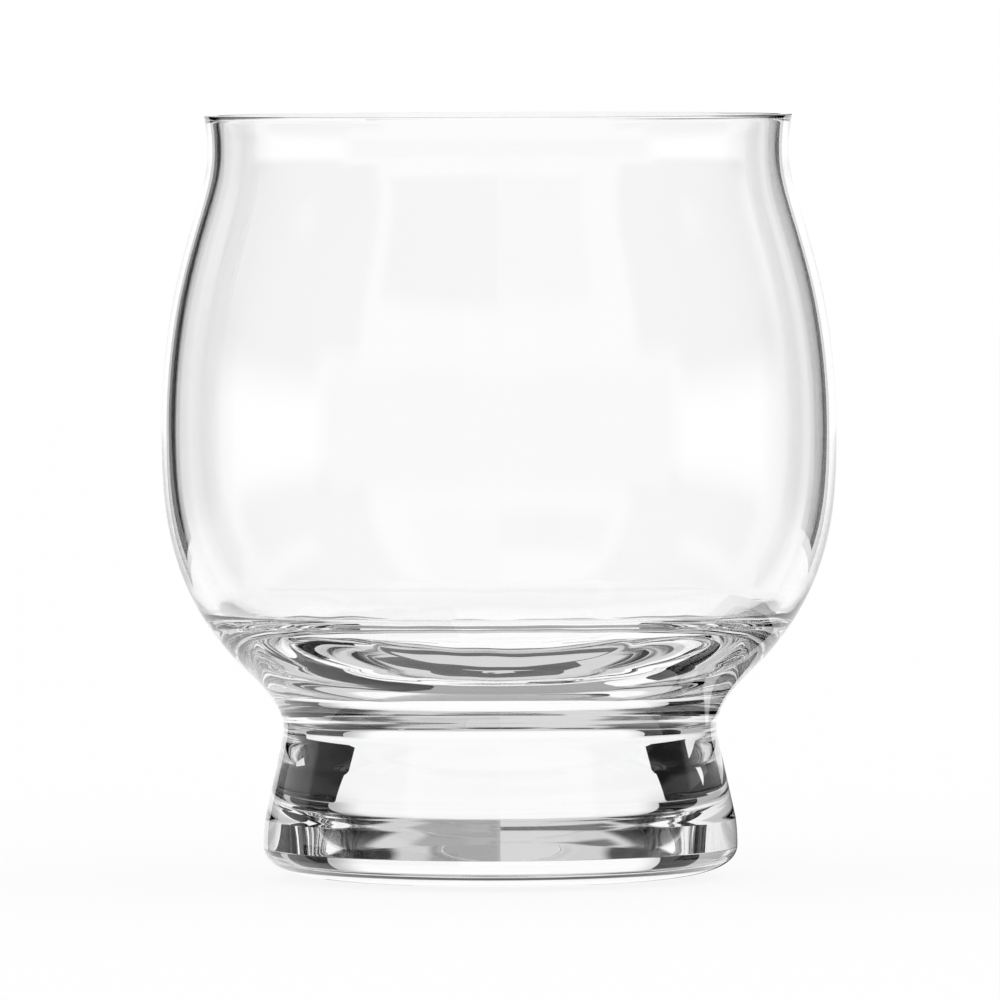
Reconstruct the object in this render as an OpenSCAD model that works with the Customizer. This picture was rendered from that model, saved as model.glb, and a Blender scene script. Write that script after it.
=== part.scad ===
// Whisky nosing glass: a thin blown bowl with a turned-out lip, fused to a heavy pressed foot.
// Millimetres, +Z up, with the glass's axis on Z and the table at Z = 0.

/* [Bowl] */
// Height of the bowl, from the fused seam to the rim
bowl_h = 86.5; // [75:0.1:110]
// Outer diameter at the rim
rim_d = 82.8; // [72:0.2:94]
// Outer diameter at the throat, the narrow ring below the rim
throat_d = 81.7; // [70:0.1:92]
// Distance from the rim down to the throat
throat_drop = 5; // [2:0.5:12]
// Outer diameter of the belly
belly_d = 95; // [84:0.5:115]
// Height of the belly above the seam
belly_rise = 41.8; // [34:0.2:56]
// Outer diameter at the knee, where the round of the bowl turns in towards the waist
knee_d = 74.6; // [68:0.2:82]
// Height of the knee above the seam
knee_rise = 10; // [7:0.2:14]
// Lean of the wall at the knee, in degrees from upright
knee_lean = 43; // [30:1:55]

/* [Wall] */
// Thickness of the bowl's wall
wall = 1.8; // [1:0.1:4]
// Rounding of the rim's two polished edges
rim_round = 0.2; // [0.1:0.05:0.8]
// Thickness of the glass where the inside turns from the wall to the floor
turn_t = 2.3; // [1.6:0.1:6]
// Thickness of the bowl's bottom, from the seam to the middle of the inside floor
floor_t = 10.6; // [7:0.1:14]

/* [Foot] */
// Height of the foot, from the table to the fused seam
foot_h = 20.8; // [14:0.2:30]
// Diameter at the waist, where the bowl and the foot are fused
waist_d = 61; // [50:0.1:66]
// Height of the rounding from the waist into the flare
flare_round = 1; // [0.4:0.1:6]
// Diameter at the band's upper edge, where the flare ends
band_d = 66.3; // [58:0.1:80]
// Height of the band's upper edge above the table
band_top = 8.3; // [7:0.1:12]
// Diameter at the band's lower edge, where the foot is widest
foot_d = 66.8; // [58:0.1:84]
// How far the handle of the band's curve lies outside its lower edge
band_bulge = 0.04; // [0:0.02:0.4]
// Height of the rounded heel below the band
heel_h = 4.2; // [2:0.1:6]
// Outer diameter of the flat ring that the glass stands on
rest_d = 43; // [34:0.5:56]
// Width of that ring
rest_w = 4.2; // [2:0.1:10]
// Rise of the shallow hollow inside the ring
hollow_rise = 0.9; // [0.2:0.1:4]

/* [Hidden] */

// Clear glass, as it shows against white
glass = [0.90, 0.93, 0.93, 0.45];
// Points along each curve of an outline, and round the axis
curve_steps = 14;
round_steps = 180;

// Reach of each curve's end handles, as shares of the height that the curve spans
shoulder_shares = [0.19, 0.58];
body_shares = [0.29, 0.46];
ankle_shares = [0.29, 0.43];
// The share of the way from the belly to the knee at which the inside leaves the wall for the floor
turn_share = 0.8;
// Reach of the floor's handles: down from the turn by a share of its height, and out by a share of its radius
floor_shares = [0.47, 0.49];
// How late the wall thickens on its way to the turn, where 1 is evenly all the way
turn_power = 1.4;
// The largest share of the wall that one rounded edge of the rim may take
edge_share = 0.45;
// The lip's curve turns upright at this share of its height
lip_share = 0.5;
// How far the heel's curve is drawn from its square corner towards the straight line between its ends
heel_share = 0.06;

// Heights above the table
seam_z = foot_h;
rim_z = seam_z + bowl_h;
throat_z = rim_z - throat_drop;
belly_z = seam_z + belly_rise;
knee_z = seam_z + knee_rise;
floor_z = seam_z + floor_t;

edge_r = min(rim_round, wall * edge_share);
knee_way = [sin(knee_lean), cos(knee_lean)];
hollow_r = rest_d / 2 - rest_w;

// A point at t, from 0 to 1, on the curve that the control points p draw
function curve_at(p, t) =
    len(p) == 1 ? p[0] : curve_at([for (i = [0 : len(p) - 2]) p[i] * (1 - t) + p[i + 1] * t], t);

// The way that the curve runs at t, as a step of one millimetre
function curve_way(p, t) =
    let (way = curve_at([for (i = [0 : len(p) - 2]) p[i + 1] - p[i]], t))
    way / norm(way);

// The points of a curve, leaving out its first point, where the curve before it ends
function curve(p) = [for (i = [1 : curve_steps]) curve_at(p, i / curve_steps)];

// The side of the bowl from the rim to the belly, moved in from the outside by inset
function upper_side(inset) =
    let (
        rim = [rim_d / 2 - inset, rim_z],
        throat = [throat_d / 2 - inset, throat_z],
        belly = [belly_d / 2 - inset, belly_z],
        lip_turn = [throat[0], throat_z + throat_drop * lip_share],
        span = throat_z - belly_z
    )
    concat(
        curve([rim, lip_turn, throat]),
        curve([
            throat,
            throat - [0, span * shoulder_shares[0]],
            belly + [0, span * shoulder_shares[1]],
            belly
        ])
    );

// The control points of the bowl's outside from the belly to the knee
function body() =
    let (
        belly = [belly_d / 2, belly_z],
        knee = [knee_d / 2, knee_z],
        span = belly_z - knee_z
    )
    [
        belly,
        belly - [0, span * body_shares[0]],
        knee + knee_way * span * body_shares[1],
        knee
    ];

// The control points of the bowl's outside from the knee to the seam
function ankle() =
    let (
        knee = [knee_d / 2, knee_z],
        seam = [waist_d / 2, seam_z]
    )
    [
        knee,
        knee - knee_way * knee_rise * ankle_shares[0],
        seam + [0, knee_rise * ankle_shares[1]],
        seam
    ];

// The inside of the wall below the belly, where the glass thickens towards the turn
function inside_wall() =
    [
        for (i = [1 : curve_steps])
            let (
                share = i / curve_steps,
                way = curve_way(body(), share * turn_share),
                thickness = wall + (turn_t - wall) * pow(share, turn_power)
            )
            curve_at(body(), share * turn_share) + [way[1], -way[0]] * thickness
    ];

// The inside of the bowl from the belly, down the wall and over the turn to the middle of the floor
function inside_bottom() =
    let (
        side = inside_wall(),
        turn = side[curve_steps - 1],
        way = turn - side[curve_steps - 2],
        fall = way * (floor_z - turn[1]) / way[1]
    )
    concat(
        side,
        curve([
            turn,
            turn + fall * floor_shares[0],
            [turn[0] * floor_shares[1], floor_z],
            [0, floor_z]
        ])
    );

// The polished rim, from the inside edge over the top to the outside edge
function rim_edge() =
    let (
        outer = [rim_d / 2, rim_z],
        inner = [rim_d / 2 - wall, rim_z],
        down = [0, -edge_r],
        along = [edge_r, 0]
    )
    concat(
        [inner + down],
        curve([inner + down, inner, inner + along]),
        [outer - along],
        curve([outer - along, outer, outer + down])
    );

// The points of a side that lie below the rounded rim
function below_rim(points) = [for (p = points) if (p[1] < rim_z - edge_r) p];

// The list in the other order
function backwards(points) = [for (i = [len(points) - 1 : -1 : 0]) points[i]];

// Half the bowl's section, from the rim down the outside, across the seam and up the inside
function bowl_outline() =
    concat(
        rim_edge(),
        below_rim(upper_side(0)),
        curve(body()),
        curve(ankle()),
        [[0, seam_z]],
        backwards(concat(below_rim(upper_side(wall)), inside_bottom()))
    );

// Half the foot's section, from the seam down the flare, the band and the heel, and in along the underside
function foot_outline() =
    let (
        seam = [waist_d / 2, seam_z],
        turn = seam - [0, flare_round / 2],
        upper_edge = [band_d / 2, band_top],
        lower_edge = [foot_d / 2, heel_h],
        band_middle = [foot_d / 2 + band_bulge, (band_top + heel_h) / 2],
        flare_start = turn + (upper_edge - turn) * (flare_round / 2) / (turn[1] - band_top),
        rest = [rest_d / 2, 0],
        heel_corner = [foot_d / 2, 0] * (1 - heel_share) + (lower_edge + rest) / 2 * heel_share
    )
    concat(
        [seam],
        curve([seam, turn, flare_start]),
        [upper_edge],
        curve([upper_edge, band_middle, lower_edge]),
        curve([lower_edge, heel_corner, rest]),
        [[hollow_r, 0]],
        curve([[hollow_r, 0], [hollow_r / 2, hollow_rise], [0, hollow_rise]]),
        [[0, seam_z]]
    );

// The blown bowl, open at the rim and solid below its floor
module bowl() {
    color(glass) rotate_extrude($fn = round_steps) polygon(bowl_outline());
}

// The pressed foot, solid glass with a flared side and a hollow underneath
module foot() {
    color(glass) rotate_extrude($fn = round_steps) polygon(foot_outline());
}

bowl();
foot();
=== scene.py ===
"""Whisky nosing glass: a clear blown bowl fused to a clear pressed foot, seen in a white studio."""

import logging
import math
from dataclasses import dataclass, field
from enum import Enum

import bpy
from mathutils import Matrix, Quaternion, Vector


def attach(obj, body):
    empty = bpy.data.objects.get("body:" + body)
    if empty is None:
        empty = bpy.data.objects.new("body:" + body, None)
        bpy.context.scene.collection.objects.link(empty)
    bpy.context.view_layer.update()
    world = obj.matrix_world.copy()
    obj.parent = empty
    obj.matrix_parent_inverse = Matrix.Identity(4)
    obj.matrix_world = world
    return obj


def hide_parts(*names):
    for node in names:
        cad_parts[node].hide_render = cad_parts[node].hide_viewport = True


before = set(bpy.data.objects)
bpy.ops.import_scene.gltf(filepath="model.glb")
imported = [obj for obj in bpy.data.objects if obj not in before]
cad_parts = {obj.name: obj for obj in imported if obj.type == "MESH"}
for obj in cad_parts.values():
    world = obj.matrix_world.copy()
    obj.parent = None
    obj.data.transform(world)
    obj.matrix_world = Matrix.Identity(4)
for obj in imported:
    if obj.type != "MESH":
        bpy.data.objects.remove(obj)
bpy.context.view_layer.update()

LOG = logging.getLogger("nosing_glass")

# Sizes are in millimetres and angles in degrees, unless a docstring says otherwise
MM = 0.001
BODY = "root"

# The seam, where the bowl is fused to the foot
SEAM_Z = 20.8
WAIST_D = 61.0

# A point nearer to the axis than this lies on it
ON_AXIS = 1e-6

# Bearings run from straight behind the glass to the right, and elevations from level upwards.
# These ends lie a degree past straight in front, straight down and straight up.
FRONT = 181
DOWN = -91
UP = 91
ALL_ROUND = (-FRONT, FRONT)

# Screens and the painted shade round the foot: how far from the axis they stand, how high, and how wide a
# facet is
SLIT_R = 375
SLIT_HEIGHTS = (-30, 170)
# The collars are painted shade round the foot, which only the glass shows
SHADE_COLLAR_R = 62
# The mats are painted shade on the table just behind the foot, which only the glass shows
FLOOR_SHADE_R = 48
FLOOR_SHADE_Z = -0.3
SCREEN_FACET = 3

WHITE_PAINT = (1.0, 1.0, 1.0, 1.0)

Point = tuple[float, float]
Place = tuple[float, float, float]
Span = tuple[float, float]
Face = tuple[int, ...]


class Skin(Enum):
    """The finish that a strip of a turned piece takes, by its place among the piece's materials."""

    CLEAR = 0
    SEAM = 1


class Level(Enum):
    """How bright the studio's cards are, where 1 is the white of the backdrop."""

    BLACK = 0.006
    CHARCOAL = 0.09
    DUSK = 0.35
    GREY = 0.5
    PALE = 0.66
    WHITE = 1.0


def mix(a: Point, b: Point, share: float) -> Point:
    """The point at a share of the way from a to b."""
    return (a[0] + (b[0] - a[0]) * share, a[1] + (b[1] - a[1]) * share)


def bezier(controls: list[Point], share: float) -> Point:
    """A point on the curve that some control points draw.

    Args:
        controls: The control points, from the curve's start to its end.
        share: How far along the curve the point lies, from 0 to 1.

    Returns:
        The point.
    """
    points = list(controls)
    while len(points) > 1:
        points = [mix(a, b, share) for a, b in zip(points, points[1:])]
    return points[0]


def bezier_way(controls: list[Point], share: float) -> Point:
    """The direction in which a curve runs, as a step of one millimetre.

    Args:
        controls: The control points of the curve.
        share: How far along the curve, from 0 to 1.

    Returns:
        The direction.
    """
    steps = [(b[0] - a[0], b[1] - a[1]) for a, b in zip(controls, controls[1:])]
    way = bezier(steps, share)
    length = math.hypot(*way)
    return (way[0] / length, way[1] / length)


def add_object(name: str, places: list[Place], faces: list[Face]) -> bpy.types.Object:
    """Puts a new mesh into the scene, at the origin.

    Args:
        name: The name of the object and of its mesh.
        places: The corners, in metres.
        faces: The corners of each face, by their order.

    Returns:
        The new object.
    """
    mesh = bpy.data.meshes.new(name)
    mesh.from_pydata(places, [], faces)
    piece = bpy.data.objects.new(name, mesh)
    bpy.context.scene.collection.objects.link(piece)
    return piece


def bare_material(name: str) -> bpy.types.Material:
    """Makes a material that has nothing but its output.

    Args:
        name: The material's name.

    Returns:
        The new material.
    """
    made = bpy.data.materials.new(name)
    made.use_nodes = True
    nodes = made.node_tree.nodes
    nodes.remove(nodes["Principled BSDF"])
    return made


def cover(material: bpy.types.Material, shader: bpy.types.NodeSocket) -> None:
    """Makes a shader the surface of a material."""
    tree = material.node_tree
    tree.links.new(shader, tree.nodes["Material Output"].inputs["Surface"])


@dataclass
class Outline:
    """Half the section of a turned piece, as points out from the axis and up from the table."""

    points: list[Point] = field(default_factory=list)
    creases: set[int] = field(default_factory=set)
    seams: set[int] = field(default_factory=set)
    waves: dict[int, float] = field(default_factory=dict)

    def start(self, point: Point) -> None:
        """Puts down the first point."""
        self.points = [point]

    def crease(self) -> None:
        """Makes the last point a sharp edge."""
        self.creases.add(len(self.points) - 1)

    def wave(self, first: int) -> None:
        """Lets the last points stand out of true round, fading in and out along the way.

        Args:
            first: The first of those points, by its order.
        """
        steps = len(self.points) - 1 - first
        for i in range(steps + 1):
            self.waves[first + i] = math.sin(math.pi * i / steps) ** 2

    def line(self, point: Point, steps: int, skin: Skin = Skin.CLEAR) -> None:
        """Runs straight to a point.

        Args:
            point: Where the line ends.
            steps: How many strips the line is cut into.
            skin: The finish of those strips.
        """
        begin = self.points[-1]
        for i in range(1, steps + 1):
            if skin is Skin.SEAM:
                self.seams.add(len(self.points) - 1)
            self.points.append(mix(begin, point, i / steps))

    def curve(self, controls: list[Point], steps: int) -> None:
        """Follows a curve that begins at the last point.

        Args:
            controls: The control points after the last point.
            steps: How many strips the curve is cut into.
        """
        whole = [self.points[-1], *controls]
        self.points += [bezier(whole, i / steps) for i in range(1, steps + 1)]


@dataclass(frozen=True)
class GlassFinish:
    """Clear polished glass with a very faint tint."""

    name: str
    colour: tuple[float, float, float]
    index: float = 1.52

    def material(self) -> bpy.types.Material:
        """Makes the glass.

        Returns:
            The new material.
        """
        made = bpy.data.materials.new(self.name)
        made.use_nodes = True
        shader = made.node_tree.nodes["Principled BSDF"]
        shader.inputs["Base Color"].default_value = (*self.colour, 1.0)
        shader.inputs["Roughness"].default_value = 0.0
        shader.inputs["IOR"].default_value = self.index
        shader.inputs["Transmission Weight"].default_value = 1.0
        return made


@dataclass(frozen=True)
class FusedSeam:
    """The face where two pieces of glass have melted into one, which cannot be seen."""

    name: str

    def material(self) -> bpy.types.Material:
        """Makes the unseen face.

        Returns:
            The new material.
        """
        made = bare_material(self.name)
        shader = made.node_tree.nodes.new("ShaderNodeBsdfTransparent")
        shader.inputs["Color"].default_value = WHITE_PAINT
        cover(made, shader.outputs["BSDF"])
        return made


@dataclass(frozen=True)
class EvenTone:
    """The tone of a screen, which glows evenly."""

    name: str
    level: Level

    def material(self) -> bpy.types.Material:
        """Makes the tone.

        Returns:
            The new material.
        """
        made = bare_material(self.name)
        glow = made.node_tree.nodes.new("ShaderNodeEmission")
        glow.inputs["Color"].default_value = (*[self.level.value] * 3, 1.0)
        cover(made, glow.outputs["Emission"])
        return made


@dataclass(frozen=True)
class WhiteFloor:
    """A floor that glows white and takes a faint shadow."""

    name: str
    shadow_share: float = 0.12

    def material(self) -> bpy.types.Material:
        """Makes the floor's paint.

        Returns:
            The new material.
        """
        made = bare_material(self.name)
        nodes, links = made.node_tree.nodes, made.node_tree.links
        glow = nodes.new("ShaderNodeEmission")
        matt = nodes.new("ShaderNodeBsdfDiffuse")
        both = nodes.new("ShaderNodeMixShader")
        glow.inputs["Color"].default_value = WHITE_PAINT
        matt.inputs["Color"].default_value = WHITE_PAINT
        both.inputs["Fac"].default_value = self.shadow_share
        links.new(glow.outputs["Emission"], both.inputs[1])
        links.new(matt.outputs["BSDF"], both.inputs[2])
        cover(made, both.outputs["Shader"])
        return made


PRESSED_GLASS = GlassFinish("pressed_glass", (0.995, 1.0, 0.998))
BLOWN_GLASS = GlassFinish("blown_glass", (0.998, 1.0, 0.999))


@dataclass
class Turned:
    """A piece of revolution: its outline turned round the axis in equal steps."""

    name: str
    rounds: int = 256
    seam_strips: int = 6

    def mesh(self, outline: Outline) -> bpy.types.Object:
        """Turns an outline into a closed mesh.

        Args:
            outline: Half the piece's section, which begins and ends on the axis.

        Returns:
            The new object, at the origin.
        """
        places: list[Place] = []
        rings: list[list[int]] = []
        for i in range(len(outline.points)):
            ring = self.ring(outline, i)
            rings.append(list(range(len(places), len(places) + len(ring))))
            places += ring
        faces: list[Face] = []
        skins: list[int] = []
        for i, (low, high) in enumerate(zip(rings, rings[1:])):
            skin = Skin.SEAM if i in outline.seams else Skin.CLEAR
            faces += self.strip(low, high)
            skins += [skin.value] * self.rounds
        piece = add_object(self.name, places, faces)
        piece.data.polygons.foreach_set("material_index", skins)
        piece.data.polygons.foreach_set("use_smooth", [True] * len(faces))
        self.sharpen(piece.data, [set(rings[i]) for i in outline.creases])
        piece.data.update()
        return piece

    def ring(self, outline: Outline, i: int) -> list[Place]:
        """Turns one point of an outline round the axis.

        Args:
            outline: The outline.
            i: The point, by its order.

        Returns:
            The places on its way round, or a single one on the axis.
        """
        radius, height = outline.points[i]
        if radius < ON_AXIS:
            return [(0.0, 0.0, height * MM)]
        wave = outline.waves.get(i, 0.0)
        made: list[Place] = []
        for k in range(self.rounds):
            angle = math.tau * k / self.rounds
            reach = (radius + wave * self.ripple(height, angle)) * MM
            made.append((reach * math.cos(angle), reach * math.sin(angle), height * MM))
        return made

    def strip(self, low: list[int], high: list[int]) -> list[Face]:
        """Joins two neighbouring rings, either of which may be a single place on the axis.

        Args:
            low: The places of the earlier ring, by their order.
            high: The places of the later ring.

        Returns:
            The faces between them, one for each step round.
        """
        made: list[Face] = []
        for k in range(self.rounds):
            j = (k + 1) % self.rounds
            if len(low) == 1:
                made.append((low[0], high[j], high[k]))
            elif len(high) == 1:
                made.append((low[k], low[j], high[0]))
            else:
                made.append((low[k], low[j], high[j], high[k]))
        return made

    def sharpen(self, mesh: bpy.types.Mesh, rings: list[set[int]]) -> None:
        """Marks the rings of edges at which the shading breaks.

        Args:
            mesh: The mesh.
            rings: The places of each such ring, by their order.
        """
        for edge in mesh.edges:
            if any(edge.vertices[0] in ring and edge.vertices[1] in ring for ring in rings):
                edge.use_edge_sharp = True

    def ripple(self, height: float, angle: float) -> float:
        """How far a wavy point stands out of true round, at an angle in radians: nil for a true piece."""
        return 0.0


@dataclass
class Foot(Turned):
    """The pressed foot: a waist, a straight flare, a short band, a rounded heel and a hollow underneath."""

    name: str = "foot_glass"
    height: float = SEAM_Z
    waist_d: float = WAIST_D
    flare_round: float = 1.0
    band_d: float = 66.3
    band_top: float = 8.3
    foot_d: float = 66.8
    band_bulge: float = 0.04
    heel_h: float = 4.2
    heel_share: float = 0.06
    rest_d: float = 43.0
    rest_w: float = 4.2
    hollow_rise: float = 0.9
    hollow_strips: int = 24
    rest_strips: int = 6
    heel_strips: int = 64
    band_strips: int = 32
    flare_strips: int = 24
    turn_strips: int = 12

    def outline(self) -> Outline:
        """Half the foot's section, from the hollow's middle outwards, up to the seam and back in.

        Returns:
            The outline, which begins and ends on the axis.
        """
        seam = (self.waist_d / 2, self.height)
        turn = (seam[0], seam[1] - self.flare_round / 2)
        upper = (self.band_d / 2, self.band_top)
        lower = (self.foot_d / 2, self.heel_h)
        bulge = (self.foot_d / 2 + self.band_bulge, (self.band_top + self.heel_h) / 2)
        rest = (self.rest_d / 2, 0.0)
        hollow_r = rest[0] - self.rest_w
        corner = mix((self.foot_d / 2, 0.0), mix(lower, rest, 0.5), self.heel_share)
        flare = mix(turn, upper, (self.flare_round / 2) / (turn[1] - upper[1]))
        made = Outline()
        made.start((0.0, self.hollow_rise))
        made.curve([(hollow_r / 2, self.hollow_rise), (hollow_r, 0.0)], self.hollow_strips)
        made.line(rest, self.rest_strips)
        made.curve([corner, lower], self.heel_strips)
        made.curve([bulge, upper], self.band_strips)
        made.line(flare, self.flare_strips)
        made.curve([turn, seam], self.turn_strips)
        made.crease()
        made.line((0.0, self.height), self.seam_strips, Skin.SEAM)
        return made

    def build(self) -> bpy.types.Object:
        """Makes the foot in the place of the CAD's.

        Returns:
            The new piece.
        """
        piece = self.mesh(self.outline())
        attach(piece, BODY)
        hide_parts("foot")
        return piece

    def dress(self, piece: bpy.types.Object, seam: bpy.types.Material) -> None:
        """Gives the foot its clear glass and its unseen seam."""
        piece.data.materials.append(PRESSED_GLASS.material())
        piece.data.materials.append(seam)


@dataclass(frozen=True)
class Ripple:
    """A wave round blown glass, with its lean in radians a millimetre of height and its start in radians."""

    folds: int
    lean: float
    start: float
    depth_share: float

    def at(self, height: float, angle: float) -> float:
        """The wave at a height and an angle in radians, as a share of the deepest."""
        return self.depth_share * math.sin(self.folds * angle + self.lean * height + self.start)


@dataclass
class Bowl(Turned):
    """The blown bowl: a knee above the waist, a wide belly, a throat and a lip with a polished rim."""

    name: str = "bowl_glass"
    seam_z: float = SEAM_Z
    height: float = 86.5
    rim_d: float = 82.8
    throat_d: float = 81.7
    throat_drop: float = 5.0
    belly_d: float = 95.0
    belly_rise: float = 41.8
    knee_d: float = 74.6
    knee_rise: float = 10.0
    knee_lean: float = 43.0
    waist_d: float = WAIST_D
    wall: float = 1.8
    rim_round: float = 0.2
    rim_gap: float = 0.05
    turn_t: float = 2.3
    floor_t: float = 10.6
    shoulder_shares: tuple[float, float] = (0.19, 0.58)
    body_shares: tuple[float, float] = (0.29, 0.46)
    ankle_shares: tuple[float, float] = (0.29, 0.43)
    turn_share: float = 0.8
    turn_power: float = 1.4
    floor_shares: tuple[float, float] = (0.47, 0.49)
    lip_share: float = 0.5
    ripple_depth: float = 0.03
    ripples: tuple[Ripple, ...] = (
        Ripple(folds=7, lean=0.9, start=0.0, depth_share=1.0),
        Ripple(folds=17, lean=-1.3, start=1.0, depth_share=0.7),
        Ripple(folds=31, lean=2.1, start=2.0, depth_share=0.4),
    )
    ankle_strips: int = 32
    side_strips: int = 48
    lip_strips: int = 12
    edge_strips: int = 8
    rim_strips: int = 2
    floor_strips: int = 64
    wavy_wall_strips: int = 16

    def upper_side(self, inset: float) -> list[list[Point]]:
        """The curves of the side from the belly up to the rim.

        Args:
            inset: How far the side lies inside the bowl's outside.

        Returns:
            The control points of the shoulder and of the lip.
        """
        rim_z = self.seam_z + self.height
        throat_z, belly_z = rim_z - self.throat_drop, self.seam_z + self.belly_rise
        span = throat_z - belly_z
        rim = (self.rim_d / 2 - inset, rim_z)
        throat = (self.throat_d / 2 - inset, throat_z)
        belly = (self.belly_d / 2 - inset, belly_z)
        shoulder = [
            belly,
            (belly[0], belly_z + span * self.shoulder_shares[1]),
            (throat[0], throat_z - span * self.shoulder_shares[0]),
            throat,
        ]
        return [shoulder, [throat, (throat[0], throat_z + self.throat_drop * self.lip_share), rim]]

    def body(self) -> list[Point]:
        """The outside from the belly down to the knee.

        Returns:
            The control points of its curve.
        """
        belly = (self.belly_d / 2, self.seam_z + self.belly_rise)
        knee = (self.knee_d / 2, self.seam_z + self.knee_rise)
        lean, span = math.radians(self.knee_lean), belly[1] - knee[1]
        reach = span * self.body_shares[1]
        return [
            belly,
            (belly[0], belly[1] - span * self.body_shares[0]),
            (knee[0] + math.sin(lean) * reach, knee[1] + math.cos(lean) * reach),
            knee,
        ]

    def ankle(self) -> list[Point]:
        """The outside from the knee down to the seam.

        Returns:
            The control points of its curve.
        """
        knee = (self.knee_d / 2, self.seam_z + self.knee_rise)
        seam = (self.waist_d / 2, self.seam_z)
        lean, reach = math.radians(self.knee_lean), self.knee_rise * self.ankle_shares[0]
        return [
            knee,
            (knee[0] - math.sin(lean) * reach, knee[1] - math.cos(lean) * reach),
            (seam[0], seam[1] + self.knee_rise * self.ankle_shares[1]),
            seam,
        ]

    def inside_wall(self) -> list[Point]:
        """The inside of the wall from the belly down to the turn, where the glass thickens.

        Returns:
            The points, the belly's and the turn's among them.
        """
        body = self.body()
        made: list[Point] = []
        for i in range(self.side_strips + 1):
            share = i / self.side_strips
            along = share * self.turn_share
            at, way = bezier(body, along), bezier_way(body, along)
            thickness = self.wall + (self.turn_t - self.wall) * share**self.turn_power
            made.append((at[0] + way[1] * thickness, at[1] - way[0] * thickness))
        return made

    def inside_bottom(self, before: Point, turn: Point) -> list[Point]:
        """The inside of the bottom from the turn to the axis, which goes on from the wall without a break.

        Args:
            before: The wall's last point but one.
            turn: The wall's last point.

        Returns:
            The control points of its curve, after the turn.
        """
        floor_z = self.seam_z + self.floor_t
        fall = (floor_z - turn[1]) / (turn[1] - before[1]) * self.floor_shares[0]
        return [
            (turn[0] + (turn[0] - before[0]) * fall, turn[1] + (turn[1] - before[1]) * fall),
            (turn[0] * self.floor_shares[1], floor_z),
            (0.0, floor_z),
        ]

    def below_rim(self, lip: list[Point]) -> list[Point]:
        """The points of the lip that lie below the rounded rim.

        Args:
            lip: The lip's control points, from the throat up.

        Returns:
            The points after the throat.
        """
        limit = self.seam_z + self.height - self.rim_round
        points = [bezier(lip, i / self.lip_strips) for i in range(1, self.lip_strips + 1)]
        return [p for p in points if p[1] < limit - self.rim_gap]

    def draw_outside(self, made: Outline) -> None:
        """Draws the seam and the outside up to the rim.

        Args:
            made: The outline, still empty.
        """
        shoulder, lip = self.upper_side(0.0)
        made.start((0.0, self.seam_z))
        made.line((self.waist_d / 2, self.seam_z), self.seam_strips, Skin.SEAM)
        made.crease()
        made.curve(self.ankle()[::-1][1:], self.ankle_strips)
        made.curve(self.body()[::-1][1:], self.side_strips)
        made.curve(shoulder[1:], self.side_strips)
        made.points += self.below_rim(lip)

    def draw_rim(self, made: Outline) -> None:
        """Draws the rim: a rounded outer edge, a flat top and a rounded inner edge.

        Args:
            made: The outline so far, up to the rim.
        """
        top, edge = self.seam_z + self.height, self.rim_round
        outer = self.rim_d / 2
        inner = outer - self.wall
        made.points.append((outer, top - edge))
        made.curve([(outer, top), (outer - edge, top)], self.edge_strips)
        made.line((inner + edge, top), self.rim_strips)
        made.curve([(inner, top), (inner, top - edge)], self.edge_strips)

    def draw_inside(self, made: Outline) -> None:
        """Draws the inside from the rim down to the axis, wavy at the bottom.

        Args:
            made: The outline so far, with its rim.
        """
        shoulder, lip = self.upper_side(self.wall)
        wall = self.inside_wall()
        made.points += self.below_rim(lip)[::-1]
        made.points.append(shoulder[-1])
        made.curve(shoulder[::-1][1:], self.side_strips)
        made.points += wall[1:]
        wavy = len(made.points) - self.wavy_wall_strips
        made.curve(self.inside_bottom(wall[-2], wall[-1]), self.floor_strips)
        made.wave(wavy)

    def outline(self) -> Outline:
        """Half the bowl's section: out along the seam, up the outside, over the rim and down the inside.

        Returns:
            The outline, which begins and ends on the axis.
        """
        made = Outline()
        self.draw_outside(made)
        self.draw_rim(made)
        self.draw_inside(made)
        return made

    def ripple(self, height: float, angle: float) -> float:
        """How far the inside of the bottom stands out of true round, at an angle in radians."""
        return self.ripple_depth * sum(wave.at(height, angle) for wave in self.ripples)

    def build(self) -> bpy.types.Object:
        """Makes the bowl in the place of the CAD's.

        Returns:
            The new piece.
        """
        piece = self.mesh(self.outline())
        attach(piece, BODY)
        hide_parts("bowl")
        return piece

    def dress(self, piece: bpy.types.Object, seam: bpy.types.Material) -> None:
        """Gives the bowl its clear glass and its unseen seam."""
        piece.data.materials.append(BLOWN_GLASS.material())
        piece.data.materials.append(seam)


@dataclass(frozen=True)
class Card:
    """A lit or dark card of the far studio, by the bearings and elevations that it covers."""

    bearing: Span
    elevation: Span
    level: Level
    soft: float = 2.0


def pair(bearing: Span, elevation: Span, level: Level, soft: float) -> tuple[Card, Card]:
    """Two like cards, one on each side of the glass.

    Args:
        bearing: The bearings of the right-hand card.
        elevation: The elevations of both.
        level: How bright they are.
        soft: The width of their soft edges.

    Returns:
        The right-hand card and the left-hand one.
    """
    mirrored = (-bearing[1], -bearing[0])
    return (Card(bearing, elevation, level, soft), Card(mirrored, elevation, level, soft))


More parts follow.
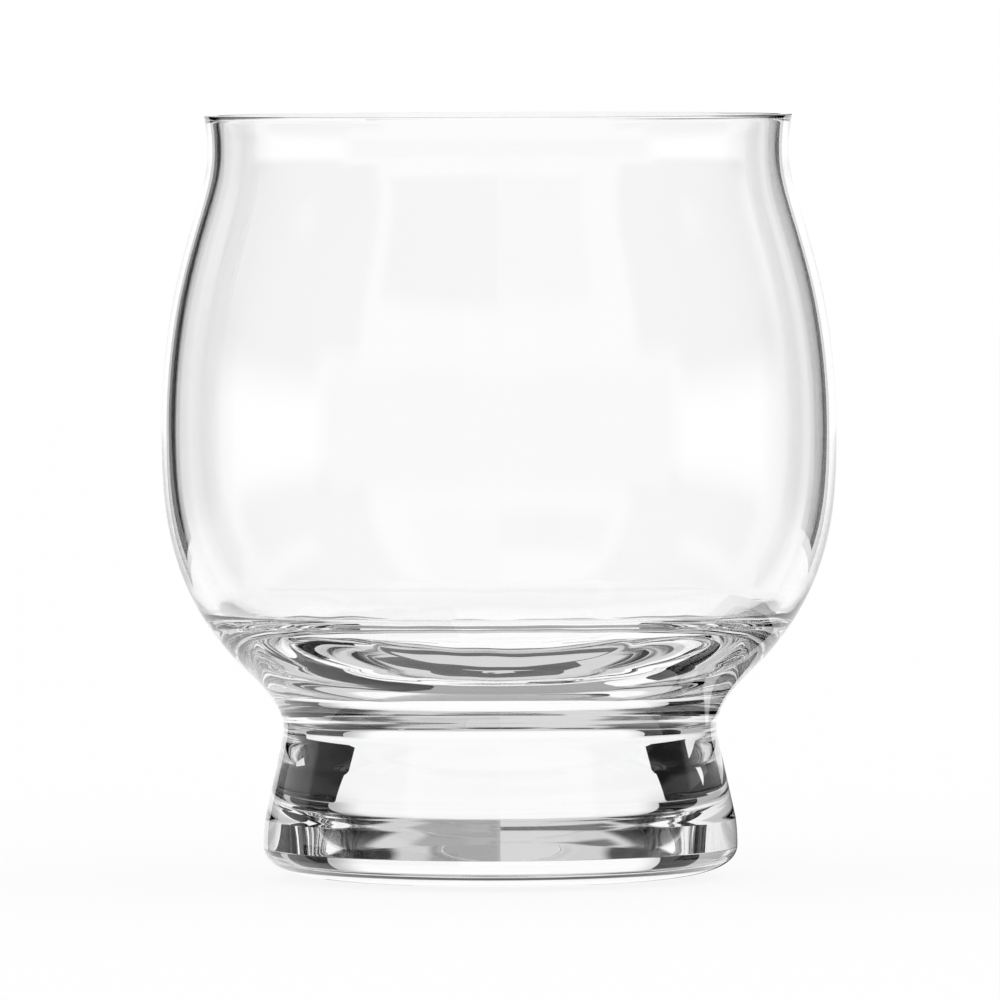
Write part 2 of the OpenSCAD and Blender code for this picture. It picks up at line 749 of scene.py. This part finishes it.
@dataclass(frozen=True)
class Screen:
    """A round screen near the glass, upright or flat, which only the glass shows, by the places of its two
    edges. The low ones round the foot are painted shade.
    """

    name: str
    bearing: Span
    edges: tuple[Point, Point]
    level: Level

    def build(self) -> bpy.types.Object:
        """Raises the screen.

        Returns:
            The new object.
        """
        begin, end = self.bearing
        steps = round((end - begin) / SCREEN_FACET)
        places: list[Place] = []
        for i in range(steps + 1):
            angle = math.radians(begin + (end - begin) * i / steps)
            for radius, height in self.edges:
                places.append((math.sin(angle) * radius * MM, math.cos(angle) * radius * MM, height * MM))
        faces: list[Face] = [(2 * i, 2 * i + 2, 2 * i + 3, 2 * i + 1) for i in range(steps)]
        piece = add_object(self.name, places, faces)
        piece.data.materials.append(EvenTone(self.name, self.level).material())
        piece.visible_camera = False
        piece.visible_diffuse = False
        piece.visible_shadow = False
        return piece


def upright(name: str, bearing: Span, radius: float, heights: Span, level: Level = Level.BLACK) -> Screen:
    """A screen that stands upright round the glass."""
    return Screen(name, bearing, ((radius, heights[0]), (radius, heights[1])), level)


def floor_shade_patch(name: str, bearing: Span, inner_r: float, level: Level = Level.BLACK) -> Screen:
    """A patch of painted shade that lies flat on the table round the foot."""
    return Screen(name, bearing, ((inner_r, FLOOR_SHADE_Z), (FLOOR_SHADE_R, FLOOR_SHADE_Z)), level)


@dataclass
class Studio:
    """A white studio: a plain pale floor, and cards and screens of light and shade round the glass."""

    floor_half: float = 3000.0
    floor_drop: float = 0.2
    cards: tuple[Card, ...] = (
        # The pale room, the white backdrop and the white below
        Card(ALL_ROUND, (DOWN, UP), Level.PALE),
        Card((-115, 115), (DOWN, 25), Level.WHITE, 6),
        Card(ALL_ROUND, (DOWN, -10), Level.WHITE, 6),
        # Both sides: grey nearer the back, black further round and higher up
        *pair((30, 65), (-10, 30), Level.GREY, 10),
        *pair((65, 115), (5, 25), Level.BLACK, 8),
        *pair((40, 110), (30, 60), Level.BLACK, 8),
        *pair((100, 130), (10, 75), Level.BLACK, 6),
        # In front, a dim card on the right and a dark one on the left, and black overhead
        Card((145, FRONT), (20, 70), Level.DUSK, 8),
        Card((-FRONT, -135), (20, 40), Level.CHARCOAL, 6),
        Card(ALL_ROUND, (80, UP), Level.BLACK, 8),
    )
    screens: tuple[Screen, ...] = (
        # Tall black strips behind the glass, and a dark card behind and above the rim
        upright("right_slit", (32, 50), SLIT_R, SLIT_HEIGHTS),
        upright("left_slit", (-42, -28), SLIT_R, SLIT_HEIGHTS),
        upright("overhead_card", (-10, 30), 120, (110, 145), Level.CHARCOAL),
        # Low black collars round the foot: painted shade, which the glass shows as the shaded table and
        # surroundings near the foot; the glass does not show the floor, so some reach below it
        upright("right_collar_shade", (12, 60), SHADE_COLLAR_R, (-10, 0)),
        upright("right_side_collar_shade", (30, 60), SHADE_COLLAR_R, (0, 15)),
        upright("left_collar_shade", (-25, -12), SHADE_COLLAR_R, (-10, 0)),
        upright("right_front_collar_shade", (65, 105), SHADE_COLLAR_R, (-15, 20)),
        upright("right_low_collar_shade", (90, 110), 45, (-3, 12)),
        upright("left_front_collar_shade", (-165, -95), SHADE_COLLAR_R, (-20, 5)),
        # Painted shade of the table just behind the foot, lying flat as mats
        floor_shade_patch("middle_floor_shade", (-7, 12), 35, Level.DUSK),
        floor_shade_patch("right_floor_shade", (18, 44), 34),
        floor_shade_patch("left_floor_shade", (-30, -7), 34),
    )

    def floor(self) -> bpy.types.Object:
        """Lays the floor, which the camera sees as white with the glass's faint shadow.

        Returns:
            The new object.
        """
        half, drop = self.floor_half * MM, -self.floor_drop * MM
        corners = [(-half, -half, drop), (half, -half, drop), (half, half, drop), (-half, half, drop)]
        piece = add_object("floor", corners, [(0, 1, 2, 3)])
        piece.data.materials.append(WhiteFloor("white_floor").material())
        piece.visible_transmission = False
        piece.visible_glossy = False
        return piece

    def world(self) -> None:
        """Sets the light: plain white for the camera and the floor, and the cards for the glass."""
        world = bpy.data.worlds.new("white_studio")
        bpy.context.scene.world = world
        world.use_nodes = True
        tree = world.node_tree
        nodes, links = tree.nodes, tree.links
        place = nodes.new("ShaderNodeTexCoord")
        split = nodes.new("ShaderNodeSeparateXYZ")
        links.new(place.outputs["Generated"], split.inputs["Vector"])
        bearing = self.reckon(tree, "ARCTAN2", split.outputs["X"], split.outputs["Y"])
        elevation = self.reckon(tree, "ARCSINE", split.outputs["Z"])
        level: bpy.types.NodeSocket | None = None
        for card in self.cards:
            across = self.window(tree, bearing, card.bearing, card.soft)
            upwards = self.window(tree, elevation, card.elevation, card.soft)
            level = self.lay(tree, level, card.level, self.reckon(tree, "MULTIPLY", across, upwards))
        ray = nodes.new("ShaderNodeLightPath")
        plain = self.reckon(tree, "MAXIMUM", ray.outputs["Is Camera Ray"], ray.outputs["Is Diffuse Ray"])
        level = self.lay(tree, level, Level.WHITE, plain)
        links.new(level, nodes["Background"].inputs["Color"])

    def reckon(
        self, tree: bpy.types.NodeTree, operation: str, *terms: bpy.types.NodeSocket
    ) -> bpy.types.NodeSocket:
        """Adds one sum to the world.

        Args:
            tree: The world's nodes.
            operation: Blender's name of the sum.
            terms: What goes into it.

        Returns:
            The socket with the result.
        """
        node = tree.nodes.new("ShaderNodeMath")
        node.operation = operation
        for socket, term in zip(node.inputs, terms):
            tree.links.new(term, socket)
        return node.outputs["Value"]

    def window(
        self, tree: bpy.types.NodeTree, angle: bpy.types.NodeSocket, ends: Span, soft: float
    ) -> bpy.types.NodeSocket:
        """Marks the angles between two ends.

        Args:
            tree: The world's nodes.
            angle: The angle, in radians.
            ends: The two ends.
            soft: The width of each soft edge.

        Returns:
            A socket that is 1 between the ends and 0 outside them.
        """
        sides: list[bpy.types.NodeSocket] = []
        for end, before, after in ((ends[0], 0.0, 1.0), (ends[1], 1.0, 0.0)):
            node = tree.nodes.new("ShaderNodeMapRange")
            node.interpolation_type = "SMOOTHSTEP"
            node.inputs["From Min"].default_value = math.radians(end - soft / 2)
            node.inputs["From Max"].default_value = math.radians(end + soft / 2)
            node.inputs["To Min"].default_value = before
            node.inputs["To Max"].default_value = after
            tree.links.new(angle, node.inputs["Value"])
            sides.append(node.outputs["Result"])
        return self.reckon(tree, "MULTIPLY", *sides)

    def lay(
        self,
        tree: bpy.types.NodeTree,
        under: bpy.types.NodeSocket | None,
        level: Level,
        mask: bpy.types.NodeSocket,
    ) -> bpy.types.NodeSocket:
        """Lays a level over what is there already.

        Args:
            tree: The world's nodes.
            under: The level so far, or None at first.
            level: The level to lay on.
            mask: Where it covers.

        Returns:
            The socket with the new level.
        """
        node = tree.nodes.new("ShaderNodeMix")
        node.data_type = "FLOAT"
        tree.links.new(mask, node.inputs["Factor"])
        node.inputs["B"].default_value = level.value
        if under is not None:
            tree.links.new(under, node.inputs["A"])
        return node.outputs["Result"]


@dataclass
class Viewpoint:
    """The camera, in front of the glass and a little above its rim."""

    distance: float = 1867.0
    height: float = 124.2
    aim: Point = (0.1, 53.04)
    roll: float = -0.2
    frame_width: float = 140.85
    sensor: float = 36.0
    far_end: float = 100000.0

    def build(self) -> bpy.types.Object:
        """Sets up the camera and makes it the scene's own.

        Returns:
            The camera.
        """
        lens = bpy.data.cameras.new("camera")
        eye = Vector((0.0, -self.distance, self.height)) * MM
        look = Vector((self.aim[0], 0.0, self.aim[1])) * MM - eye
        lens.sensor_width = self.sensor
        lens.lens = self.sensor * look.length / (self.frame_width * MM)
        lens.clip_end = self.far_end * MM
        camera = bpy.data.objects.new("camera", lens)
        camera.location = eye
        turn = Quaternion((0.0, 0.0, 1.0), math.radians(self.roll))
        camera.rotation_euler = (look.to_track_quat("-Z", "Y") @ turn).to_euler()
        bpy.context.scene.collection.objects.link(camera)
        bpy.context.scene.camera = camera
        return camera


def trace_deep() -> None:
    """Lets light pass often enough through thick glass."""
    cycles = bpy.context.scene.cycles
    cycles.max_bounces = 24
    cycles.glossy_bounces = 16
    cycles.transmission_bounces = 24
    cycles.transparent_max_bounces = 32


def main() -> None:
    """Builds the glass, the studio and the camera."""
    logging.basicConfig(level=logging.INFO, format="%(name)s: %(message)s")
    bpy.context.scene.view_settings.view_transform = "Standard"
    trace_deep()
    seam = FusedSeam("fused_seam").material()
    for part in (Foot(), Bowl()):
        piece = part.build()
        part.dress(piece, seam)
        LOG.info("%s: %d faces", piece.name, len(piece.data.polygons))
    studio = Studio()
    LOG.info("%s laid", studio.floor().name)
    for screen in studio.screens:
        LOG.info("%s raised", screen.build().name)
    studio.world()
    LOG.info("%s set", Viewpoint().build().name)


if __name__ == "__main__":
    main()
